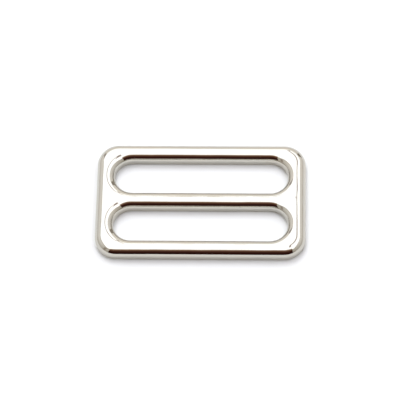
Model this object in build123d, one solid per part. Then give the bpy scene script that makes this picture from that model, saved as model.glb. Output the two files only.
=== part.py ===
from build123d import *

import os

# Strap and slots, in millimetres
webbing_width = 38.0
webbing_play = 0.6
slot_opening = 8.0

# Bars of the frame, as seen from above
end_bar_width = 4.0
outer_bar_width = 3.9
centre_bar_width = 3.8
outer_corner_radius = 4.8

# Section of the bars: a flat back, short upright sides and a domed top
frame_thickness = 3.1
slot_crown_radius = 1.7
outer_crown_radius = 1.8
crown_land = 0.2
side_height = 0.4
back_edge_radius = 0.35

# Worked out from the sizes above
slot_length = webbing_width + webbing_play
slot_pitch = slot_opening + centre_bar_width
frame_length = slot_length + 2 * end_bar_width
frame_width = 2 * slot_opening + 2 * outer_bar_width + centre_bar_width
crown_depth = frame_thickness - side_height - back_edge_radius

# Each crown is rounded as far as its bar and the upright sides leave room
slot_crown = min(
    slot_crown_radius,
    (centre_bar_width - crown_land) / 2,
    crown_depth,
)
outer_crown = min(
    outer_crown_radius,
    min(end_bar_width, outer_bar_width) - crown_land - slot_crown,
    crown_depth,
)


# Rounded rectangle with two round-ended slots, one on each side of the centre bar
def frame_outline():
    with BuildSketch() as outline:
        RectangleRounded(frame_length, frame_width, outer_corner_radius)
        with GridLocations(0, slot_pitch, 1, 2):
            SlotOverall(slot_length, slot_opening, mode=Mode.SUBTRACT)
    return outline.sketch


def top_face(casting):
    return casting.faces().sort_by(Axis.Z)[-1]


# One casting, lying on its flat back, with every upper edge rounded over into the dome
def slide_frame():
    with BuildPart() as casting:
        add(frame_outline())
        extrude(amount=frame_thickness)
        fillet(top_face(casting).outer_wire().edges(), outer_crown)
        slot_rims = top_face(casting).inner_wires()
        fillet([edge for rim in slot_rims for edge in rim.edges()], slot_crown)
        fillet(casting.faces().sort_by(Axis.Z)[0].edges(), back_edge_radius)
    return casting.part


os.makedirs("parts", exist_ok=True)
export_step(slide_frame(), "parts/slide_frame.step")
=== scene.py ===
import math

import bpy
from mathutils import Matrix, Vector


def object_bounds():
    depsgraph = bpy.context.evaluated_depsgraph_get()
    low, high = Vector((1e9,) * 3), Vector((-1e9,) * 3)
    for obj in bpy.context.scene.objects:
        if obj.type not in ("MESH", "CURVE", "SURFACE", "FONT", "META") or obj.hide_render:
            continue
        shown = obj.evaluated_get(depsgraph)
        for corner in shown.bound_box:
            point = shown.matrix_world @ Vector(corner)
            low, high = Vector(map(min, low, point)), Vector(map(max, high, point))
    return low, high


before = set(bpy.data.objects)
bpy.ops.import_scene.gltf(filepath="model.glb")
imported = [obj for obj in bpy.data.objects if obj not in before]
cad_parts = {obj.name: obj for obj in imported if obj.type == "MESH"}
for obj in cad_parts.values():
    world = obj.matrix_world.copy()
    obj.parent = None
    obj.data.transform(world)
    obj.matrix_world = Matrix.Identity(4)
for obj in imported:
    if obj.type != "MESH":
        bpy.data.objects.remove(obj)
cad_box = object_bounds()

MM = 0.001

# Camera: elevation above the sheet, turn about the vertical, roll, distance to the slide,
# focal length in millimetres, and how far right of and above the slide's origin it aims
ELEVATION = math.radians(62.97)
TURN = math.radians(4.61)
ROLL = math.radians(3.80)
DISTANCE = 568.7 * MM
LENS = 229.7
AIM_RIGHT = -0.17 * MM
AIM_UP = 0.95 * MM
CLIP_START = 10 * MM

# Studio, turned with the camera: a glowing roof cloth over the sheet, paper walls all round that
# glow as painted light, and a dim glowing panel of painted shade for the dark room that shows
# through an opening on the camera's side. Places on the roof are given as slopes seen from the
# slide: sideways and towards the back, per unit of height.
ROOF_HEIGHT = 1.8
ROOF_COLOR = (2.0, 2.05, 2.18)
ROOF_OUTLINE = (
    (-0.10, 1.29),
    (-0.38, 1.17),
    (-0.54, 0.80),
    (-0.57, 0.45),
    (-0.57, 0.00),
    (-0.60, -0.36),
    (-0.40, -0.46),
    (0.40, -0.46),
    (0.60, -0.60),
    (0.71, -0.58),
    (0.75, -0.20),
    (0.75, 0.40),
    (0.68, 0.72),
    (0.50, 1.02),
    (0.25, 1.12),
    (0.15, 1.16),
    (0.10, 1.26),
)
WORLD_COLOR = (1.0, 1.0, 1.0)
WORLD_RADIANCE = 0.9

# Key lamp close under the roof cloth: it lights the sheet and isn't mirrored
KEY_PLACE = (-0.12, 0.68)
KEY_WIDTH = 0.95
KEY_DEPTH = 1.1
KEY_RADIANCE = 5.4
KEY_DROP = 0.02

# Opening: a dim glowing panel of painted shade that stands for the unlit room beyond, its glow
# lighter towards the top as painted light. Its left and right edges as height and place
# sideways, on a plane that leans in, and its colours from the floor up
OPENING_DISTANCE = 1.6
OPENING_LEAN = 0.54
OPENING_LEFT = ((0.0, -1.39), (0.30, -1.25), (1.02, -0.83), (1.80, -0.70))
OPENING_RIGHT = ((1.80, 0.77), (1.27, 0.79), (0.47, 0.93), (0.0, 1.11))
OPENING_STOPS = (
    (0.0, (0.025, 0.006, 0.004)),
    (0.45, (0.048, 0.014, 0.010)),
    (0.65, (0.16, 0.075, 0.050)),
    (0.85, (0.42, 0.27, 0.19)),
    (1.0, (0.80, 0.66, 0.54)),
)

# Paper walls, a ring round the sheet that glows as painted light on the paper: colours from the
# camera's side to the back, darker on the camera's side as painted shade, and a glow that grows
# from the foot to full strength over the lowest share of their height, the dimmer foot being
# painted shade too
WALL_DISTANCE = 2.4
WALL_HEIGHT = 4.2
WALL_SIDES = 24
WALL_STOPS = (
    (0.0, (0.46, 0.42, 0.38)),
    (0.15, (0.66, 0.62, 0.57)),
    (0.25, (0.73, 0.70, 0.66)),
    (0.5, (0.92, 0.90, 0.88)),
    (0.75, (1.02, 1.00, 0.99)),
    (1.0, (1.14, 1.10, 1.06)),
)
WALL_FOOT = 0.82
WALL_CROWN = 1.06
WALL_RISE = 0.4

# A strip along the seam of the roof cloth that glows dimmer than the cloth, painted shade in the
# lamp's face; from back to front: two slopes and the width in metres
SEAM_LINE = (
    (0.20, 1.10, 0.15),
    (0.165, 0.55, 0.24),
    (0.165, 0.20, 0.21),
    (0.17, 0.11, 0.11),
    (0.185, 0.02, 0.03),
)
SEAM_DROP = 0.04
SEAM_COLOR = (0.54, 0.45, 0.43)

# Rails and stands of the studio that the slide mirrors: corners in metres, and a colour, which
# each glows with as painted light standing for how lit it looks
RAILS = {
    "left_rail": (
        ((-0.95, 1.22, 1.70), (-1.13, 1.26, 1.70), (-1.22, -0.90, 1.70), (-1.04, -0.80, 1.70)),
        (0.58, 0.54, 0.52),
    ),
    "right_rail": (
        ((1.30, 1.2, 1.70), (1.38, 1.2, 1.70), (1.38, -0.9, 1.70), (1.30, -0.9, 1.70)),
        (0.60, 0.55, 0.52),
    ),
    "back_stand": (
        ((1.28, 1.79, 0.0), (1.68, 1.42, 0.0), (1.37, 1.72, 1.6), (1.14, 1.91, 1.6)),
        (0.36, 0.32, 0.28),
    ),
    "roof_strap": (
        ((-0.78, 1.74, 1.70), (-0.95, 1.22, 1.70), (-1.18, 1.70, 0.7), (-1.04, 1.82, 0.7)),
        (0.52, 0.47, 0.45),
    ),
    "front_stand": (
        ((-1.98, -0.96, 0.35), (-1.76, -1.32, 0.35), (-1.70, -1.28, 2.3), (-1.92, -0.93, 2.3)),
        (0.44, 0.38, 0.34),
    ),
}

# Ledges on the left and right where the paper walls are taped, glowing a little darker than the
# paper: their glow is painted light
LEDGE_DISTANCE = 2.2
LEDGE_ELEVATION = math.radians(15)
LEDGE_WIDTH = 0.22
LEDGE_COLOR = (0.70, 0.66, 0.62)

# White sheet under the slide
SHEET_SIZE = 8.0
SHEET_COLOR = (0.838, 0.851, 0.855)
SHEET_DROP = 0.02 * MM

# Nickel plate: two tints of the metal in patches, and its polish as a range of roughness. The
# ranges of noise are the values between which the patches and the haze go from none to full.
NICKEL_WARM = (0.580, 0.548, 0.482)
NICKEL_COOL = (0.560, 0.542, 0.488)
TINT_SCALE = 90
TINT_DETAIL = 3.0
TINT_RANGE = (0.35, 0.65)
POLISH = (0.030, 0.075)
HAZE_SCALE = 260
HAZE_DETAIL = 4.0
HAZE_RANGE = (0.35, 0.7)

# Relief of the plate: scales per metre, and heights in metres
WAVE_SCALE = 170
WAVE_DETAIL = 1.0
WAVE_HEIGHT = 1.0e-4
RIPPLE_SCALE = 700
RIPPLE_DETAIL = 1.0
RIPPLE_HEIGHT = 8e-6

# Scratches: scales per metre along and across them, and the turn of each set in radians
SCRATCH_SCALES = (250, 14000, 14000)
SCRATCH_TURNS = (0.12, -0.35, 1.4)
SCRATCH_DETAIL = 2.0
SCRATCH_HEIGHT = 2.5e-7

# Pinholes: cells per metre, radius in cells, the share of cells that hold one, depth in
# metres, how much of the stain shows, the stain's colour, and the roughness added inside
PIT_SCALE = 420
PIT_SIZE = 0.045
PIT_SHARE = 0.22
PIT_DEPTH = 1.2e-5
PIT_STAIN = 0.5
PIT_COLOR = (0.20, 0.17, 0.14)
PIT_ROUGHNESS = 0.3

# Buffing rounds the top of each bar over from its middle: how far the middle lies in from the
# outline or out from a slot, and the depth and spread of the rounding
OUTER_ROUNDING = (2.05 * MM, 0.035 * MM, 0.25 * MM)
SLOT_ROUNDING = (1.90 * MM, 0.05 * MM, 0.22 * MM)

# Plan of the slide, with the sizes of the part's source
CORNER_RADIUS = 4.8 * MM
SLOT_RADIUS = 4.0 * MM
SLOT_END_MIDDLE = (15.3 * MM, 5.9 * MM, 0.0)
CORNER_MIDDLE = (cad_box[1][0] - CORNER_RADIUS, cad_box[1][1] - CORNER_RADIUS, 0.0)


def place_camera():
    camera = bpy.data.objects.new("camera", bpy.data.cameras.new("camera"))
    bpy.context.scene.collection.objects.link(camera)
    camera.data.lens = LENS
    camera.data.clip_start = CLIP_START
    turn = (
        Matrix.Rotation(TURN, 4, "Z")
        @ Matrix.Rotation(math.pi / 2 - ELEVATION, 4, "X")
    )
    aim = turn @ Vector((AIM_RIGHT, AIM_UP, DISTANCE))
    camera.matrix_world = (
        Matrix.Translation(aim) @ turn @ Matrix.Rotation(-ROLL, 4, "Z")
    )
    bpy.context.scene.camera = camera


def stage_panel(name, corners, material, faces=None):
    mesh = bpy.data.meshes.new(name)
    mesh.from_pydata(corners, [], faces or [range(len(corners))])
    mesh.uv_layers.new(name="UVMap")
    piece = bpy.data.objects.new(name, mesh)
    piece.matrix_world = Matrix.Rotation(TURN, 4, "Z")
    piece.data.materials.append(material)
    bpy.context.scene.collection.objects.link(piece)
    return piece


# A panel that the slide mirrors and the camera doesn't see
def mirrored_panel(name, corners, material, faces=None):
    stage_panel(name, corners, material, faces).visible_camera = False


def glowing_material(name, color):
    material = bpy.data.materials.new(name)
    material.use_nodes = True
    nodes = material.node_tree.nodes
    nodes.clear()
    glow = nodes.new("ShaderNodeEmission")
    glow.inputs["Color"].default_value = (*color, 1)
    output = nodes.new("ShaderNodeOutputMaterial")
    material.node_tree.links.new(glow.outputs[0], output.inputs[0])
    return material


# A glow whose colour runs along one axis, through the stops from one end to the other
def graded_material(name, axis, stops):
    material = glowing_material(name, stops[0][1])
    nodes, links = material.node_tree.nodes, material.node_tree.links
    place = nodes.new("ShaderNodeTexCoord")
    split = nodes.new("ShaderNodeSeparateXYZ")
    ramp = nodes.new("ShaderNodeValToRGB")
    links.new(place.outputs["Generated"], split.inputs[0])
    links.new(split.outputs[axis], ramp.inputs[0])
    links.new(ramp.outputs["Color"], nodes["Emission"].inputs["Color"])
    elements = ramp.color_ramp.elements
    for position, _ in stops[1:-1]:
        elements.new(position)
    for element, (position, color) in zip(elements, stops):
        element.position = position
        element.color = (*color, 1)
    return material


def lay_sheet():
    paper = bpy.data.materials.new("white_paper")
    paper.use_nodes = True
    shader = paper.node_tree.nodes["Principled BSDF"]
    shader.inputs["Base Color"].default_value = (*SHEET_COLOR, 1)
    shader.inputs["Roughness"].default_value = 1.0
    shader.inputs["Specular IOR Level"].default_value = 0.0
    half = SHEET_SIZE / 2
    corners = [(-half, -half), (half, -half), (half, half), (-half, half)]
    stage_panel("paper_sheet", [(x, y, -SHEET_DROP) for x, y in corners], paper)


def roof_point(slope, drop=0.0):
    height = ROOF_HEIGHT - drop
    return (slope[0] * height, slope[1] * height, height)


def hang_roof():
    corners = [roof_point(slope) for slope in ROOF_OUTLINE]
    mirrored_panel("roof_cloth", corners, glowing_material("roof_cloth", ROOF_COLOR))


# An area lamp's energy is its radiance times pi times its area
def hang_key():
    light = bpy.data.lights.new("key", "AREA")
    light.shape = "RECTANGLE"
    light.size = KEY_WIDTH
    light.size_y = KEY_DEPTH
    light.energy = KEY_RADIANCE * math.pi * KEY_WIDTH * KEY_DEPTH
    lamp = bpy.data.objects.new("key", light)
    place = Matrix.Translation(roof_point(KEY_PLACE, KEY_DROP))
    lamp.matrix_world = Matrix.Rotation(TURN, 4, "Z") @ place
    lamp.visible_camera = False
    lamp.visible_glossy = False
    bpy.context.scene.collection.objects.link(lamp)


# Painted shade: a dim glowing strip along the roof cloth's seam, which the slide mirrors as dark
# lines
def dim_seam_strip():
    left, right = [], []
    for *slope, width in SEAM_LINE:
        x, y, z = roof_point(slope, SEAM_DROP)
        left.append((x - width / 2, y, z))
        right.append((x + width / 2, y, z))
    count = len(SEAM_LINE)
    faces = [(i, i + 1, count + i + 1, count + i) for i in range(count - 1)]
    mirrored_panel("seam_shade_strip", left + right, glowing_material("seam_shade_strip", SEAM_COLOR), faces)


# Painted light: rails and stands glow with their colour, standing in for how lit they look
def stand_rails():
    for name, (corners, color) in RAILS.items():
        mirrored_panel(name, corners, glowing_material(name, color))


# Painted light: the ledges glow a little dimmer than the paper walls
def tape_ledges():
    tape = glowing_material("ledge_tape", LEDGE_COLOR)
    low = LEDGE_DISTANCE * math.tan(LEDGE_ELEVATION)
    high = low + LEDGE_WIDTH
    far = LEDGE_DISTANCE
    walls = {"left": (-far, -far, -far, far), "right": (far, far, far, -far)}
    for side, (x0, y0, x1, y1) in walls.items():
        corners = [(x0, y0, low), (x1, y1, low), (x1, y1, high), (x0, y0, high)]
        mirrored_panel(f"ledge_{side}", corners, tape)


# Painted shade: the dark opening is a dim glowing panel, its glow graded lighter towards the top
def darken_opening():
    corners = [
        (x, OPENING_LEAN * z - OPENING_DISTANCE, z) for z, x in OPENING_LEFT + OPENING_RIGHT
    ]
    mirrored_panel("dark_opening", corners, graded_material("dark_room", "Z", OPENING_STOPS))


# Painted light and shade on the paper walls: a glow that is dimmer on the camera's side and at
# the foot
def wall_paper():
    paper = graded_material("paper_walls", "Y", WALL_STOPS)
    nodes, links = paper.node_tree.nodes, paper.node_tree.links
    rise = nodes.new("ShaderNodeMapRange")
    rise.inputs["To Min"].default_value = WALL_FOOT
    rise.inputs["To Max"].default_value = WALL_CROWN
    rise.inputs["From Max"].default_value = WALL_RISE
    links.new(nodes["Separate XYZ"].outputs["Z"], rise.inputs["Value"])
    links.new(rise.outputs[0], nodes["Emission"].inputs["Strength"])
    return paper


def raise_walls():
    ring = [math.tau * (side + 0.5) / WALL_SIDES for side in range(WALL_SIDES)]
    foot = [(WALL_DISTANCE * math.sin(a), WALL_DISTANCE * math.cos(a), 0.0) for a in ring]
    corners = foot + [(x, y, WALL_HEIGHT) for x, y, _ in foot]
    faces = []
    for side in range(WALL_SIDES):
        after = (side + 1) % WALL_SIDES
        faces.append((side, after, after + WALL_SIDES, side + WALL_SIDES))
    mirrored_panel("paper_walls", corners, wall_paper(), faces)


def light_world():
    world = bpy.data.worlds.new("pale_room")
    world.use_nodes = True
    background = world.node_tree.nodes["Background"]
    background.inputs["Color"].default_value = (*WORLD_COLOR, 1)
    background.inputs["Strength"].default_value = WORLD_RADIANCE
    bpy.context.scene.world = world


class NodeSet:
    """Adds shader nodes to one material and links them."""

    def __init__(self, material):
        self.nodes = material.node_tree.nodes
        self.links = material.node_tree.links

    def feed(self, node, key, value):
        if isinstance(value, bpy.types.NodeSocket):
            self.links.new(value, node.inputs[key])
        else:
            node.inputs[key].default_value = value

    def add(self, kind, **inputs):
        node = self.nodes.new(kind)
        for key, value in inputs.items():
            self.feed(node, key, value)
        return node

    def math(self, operation, first, second):
        node = self.nodes.new("ShaderNodeMath")
        node.operation = operation
        self.feed(node, 0, first)
        self.feed(node, 1, second)
        return node.outputs[0]

    def vector(self, operation, first, second=None):
        node = self.nodes.new("ShaderNodeVectorMath")
        node.operation = operation
        self.feed(node, 0, first)
        if second is not None:
            self.feed(node, 1, second)
        return node.outputs["Vector"]

    def length(self, value):
        node = self.nodes.new("ShaderNodeVectorMath")
        node.operation = "LENGTH"
        self.feed(node, 0, value)
        return node.outputs["Value"]

    def blend(self, share, first, second):
        node = self.nodes.new("ShaderNodeMix")
        node.data_type = "RGBA"
        self.feed(node, "Factor", share)
        self.feed(node, "A", first)
        self.feed(node, "B", second)
        return node.outputs["Result"]

    def noise(self, place, scale, detail):
        node = self.add("ShaderNodeTexNoise", Vector=place, Scale=scale, Detail=detail)
        return node.outputs["Fac"]

    def stretch(self, place, scales, turn):
        node = self.add("ShaderNodeMapping", Vector=place, Rotation=(0, 0, turn), Scale=scales)
        return node.outputs[0]

    def span(self, value, low, high, new_low, new_high):
        node = self.add("ShaderNodeMapRange", Value=value)
        sizes = (("From Min", low), ("From Max", high), ("To Min", new_low), ("To Max", new_high))
        for key, size in sizes:
            node.inputs[key].default_value = size
        return node.outputs[0]


# Distance in from the outer outline, a rectangle with round corners
def outline_distance(plate, flat):
    corner = plate.vector("SUBTRACT", flat, CORNER_MIDDLE)
    beyond = plate.length(plate.vector("MAXIMUM", corner, (0, 0, 0)))
    parts = plate.add("ShaderNodeSeparateXYZ", Vector=corner).outputs
    within = plate.math("MINIMUM", plate.math("MAXIMUM", parts["X"], parts["Y"]), 0)
    return plate.math("SUBTRACT", CORNER_RADIUS, plate.math("ADD", beyond, within))


# Distance out from the nearest slot. Lengthways only what lies past the middle of its round
# end counts, and the limit of -1 m leaves the part across the slot as it is.
def slot_distance(plate, flat):
    from_end = plate.vector("SUBTRACT", flat, SLOT_END_MIDDLE)
    past_end = plate.vector("MAXIMUM", from_end, (0, -1, 0))
    return plate.math("SUBTRACT", plate.length(past_end), SLOT_RADIUS)


# Level as far as the middle of the bar, then falling in a bell curve towards its edge
def rounded_over(plate, distance, rounding):
    middle, depth, spread = rounding
    past = plate.math("MINIMUM", plate.math("SUBTRACT", distance, middle), 0)
    offset = plate.math("DIVIDE", past, spread)
    square = plate.math("MULTIPLY", offset, offset)
    fall = plate.math("POWER", math.e, plate.math("MULTIPLY", square, -0.5))
    return plate.math("MULTIPLY", fall, depth)


# The slide is the same on both sides of each axis, so one quarter of its plan stands for all
def buffed_top(plate, place):
    flat = plate.vector("MULTIPLY", plate.vector("ABSOLUTE", place), (1, 1, 0))
    outer = rounded_over(plate, outline_distance(plate, flat), OUTER_ROUNDING)
    inner = rounded_over(plate, slot_distance(plate, flat), SLOT_ROUNDING)
    return plate.math("ADD", outer, inner)


# Heights of the plated surface in metres: waves from casting and buffing, the rounded tops
# of the bars, and fine scratches
def plate_relief(plate, place):
    waves = plate.math("MULTIPLY", plate.noise(place, WAVE_SCALE, WAVE_DETAIL), WAVE_HEIGHT)
    ripples = plate.noise(place, RIPPLE_SCALE, RIPPLE_DETAIL)
    ripples = plate.math("MULTIPLY", ripples, RIPPLE_HEIGHT)
    height = plate.math("ADD", plate.math("ADD", waves, ripples), buffed_top(plate, place))
    for turn in SCRATCH_TURNS:
        along = plate.stretch(place, SCRATCH_SCALES, turn)
        scratch = plate.noise(along, 1.0, SCRATCH_DETAIL)
        height = plate.math("ADD", height, plate.math("MULTIPLY", scratch, SCRATCH_HEIGHT))
    return height


# Pinholes in the plating: 1 in the middle of a pit and 0 elsewhere
def plate_pits(plate, place):
    cells = plate.add("ShaderNodeTexVoronoi", Vector=place, Scale=PIT_SCALE)
    pit = plate.span(cells.outputs["Distance"], 0.0, PIT_SIZE, 1.0, 0.0)
    chosen = plate.add("ShaderNodeSeparateColor", Color=cells.outputs["Color"]).outputs["Red"]
    return plate.math("MULTIPLY", pit, plate.math("GREATER_THAN", chosen, 1 - PIT_SHARE))


def plate_color(plate, place, pits):
    patches = plate.span(plate.noise(place, TINT_SCALE, TINT_DETAIL), *TINT_RANGE, 0, 1)
    tint = plate.blend(patches, (*NICKEL_WARM, 1), (*NICKEL_COOL, 1))
    return plate.blend(plate.math("MULTIPLY", pits, PIT_STAIN), tint, (*PIT_COLOR, 1))


def plate_roughness(plate, place, pits):
    haze = plate.span(plate.noise(place, HAZE_SCALE, HAZE_DETAIL), *HAZE_RANGE, *POLISH)
    return plate.math("ADD", haze, plate.math("MULTIPLY", pits, PIT_ROUGHNESS))


def plate_bump(plate, place, pits):
    depth = plate.math("MULTIPLY", pits, PIT_DEPTH)
    height = plate.math("SUBTRACT", plate_relief(plate, place), depth)
    return plate.add("ShaderNodeBump", Height=height, Distance=1.0).outputs["Normal"]


def nickel_plate():
    material = bpy.data.materials.new("nickel_plate")
    material.use_nodes = True
    shader = material.node_tree.nodes["Principled BSDF"]
    shader.inputs["Metallic"].default_value = 1.0
    plate = NodeSet(material)
    place = plate.add("ShaderNodeTexCoord").outputs["Object"]
    pits = plate_pits(plate, place)
    plate.feed(shader, "Base Color", plate_color(plate, place, pits))
    plate.feed(shader, "Roughness", plate_roughness(plate, place, pits))
    plate.feed(shader, "Normal", plate_bump(plate, place, pits))
    return material


bpy.context.scene.view_settings.view_transform = "Standard"
place_camera()
lay_sheet()
hang_roof()
hang_key()
dim_seam_strip()
stand_rails()
tape_ledges()
darken_opening()
raise_walls()
light_world()

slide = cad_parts["slide_frame"]
slide.data.materials.clear()
slide.data.materials.append(nickel_plate())
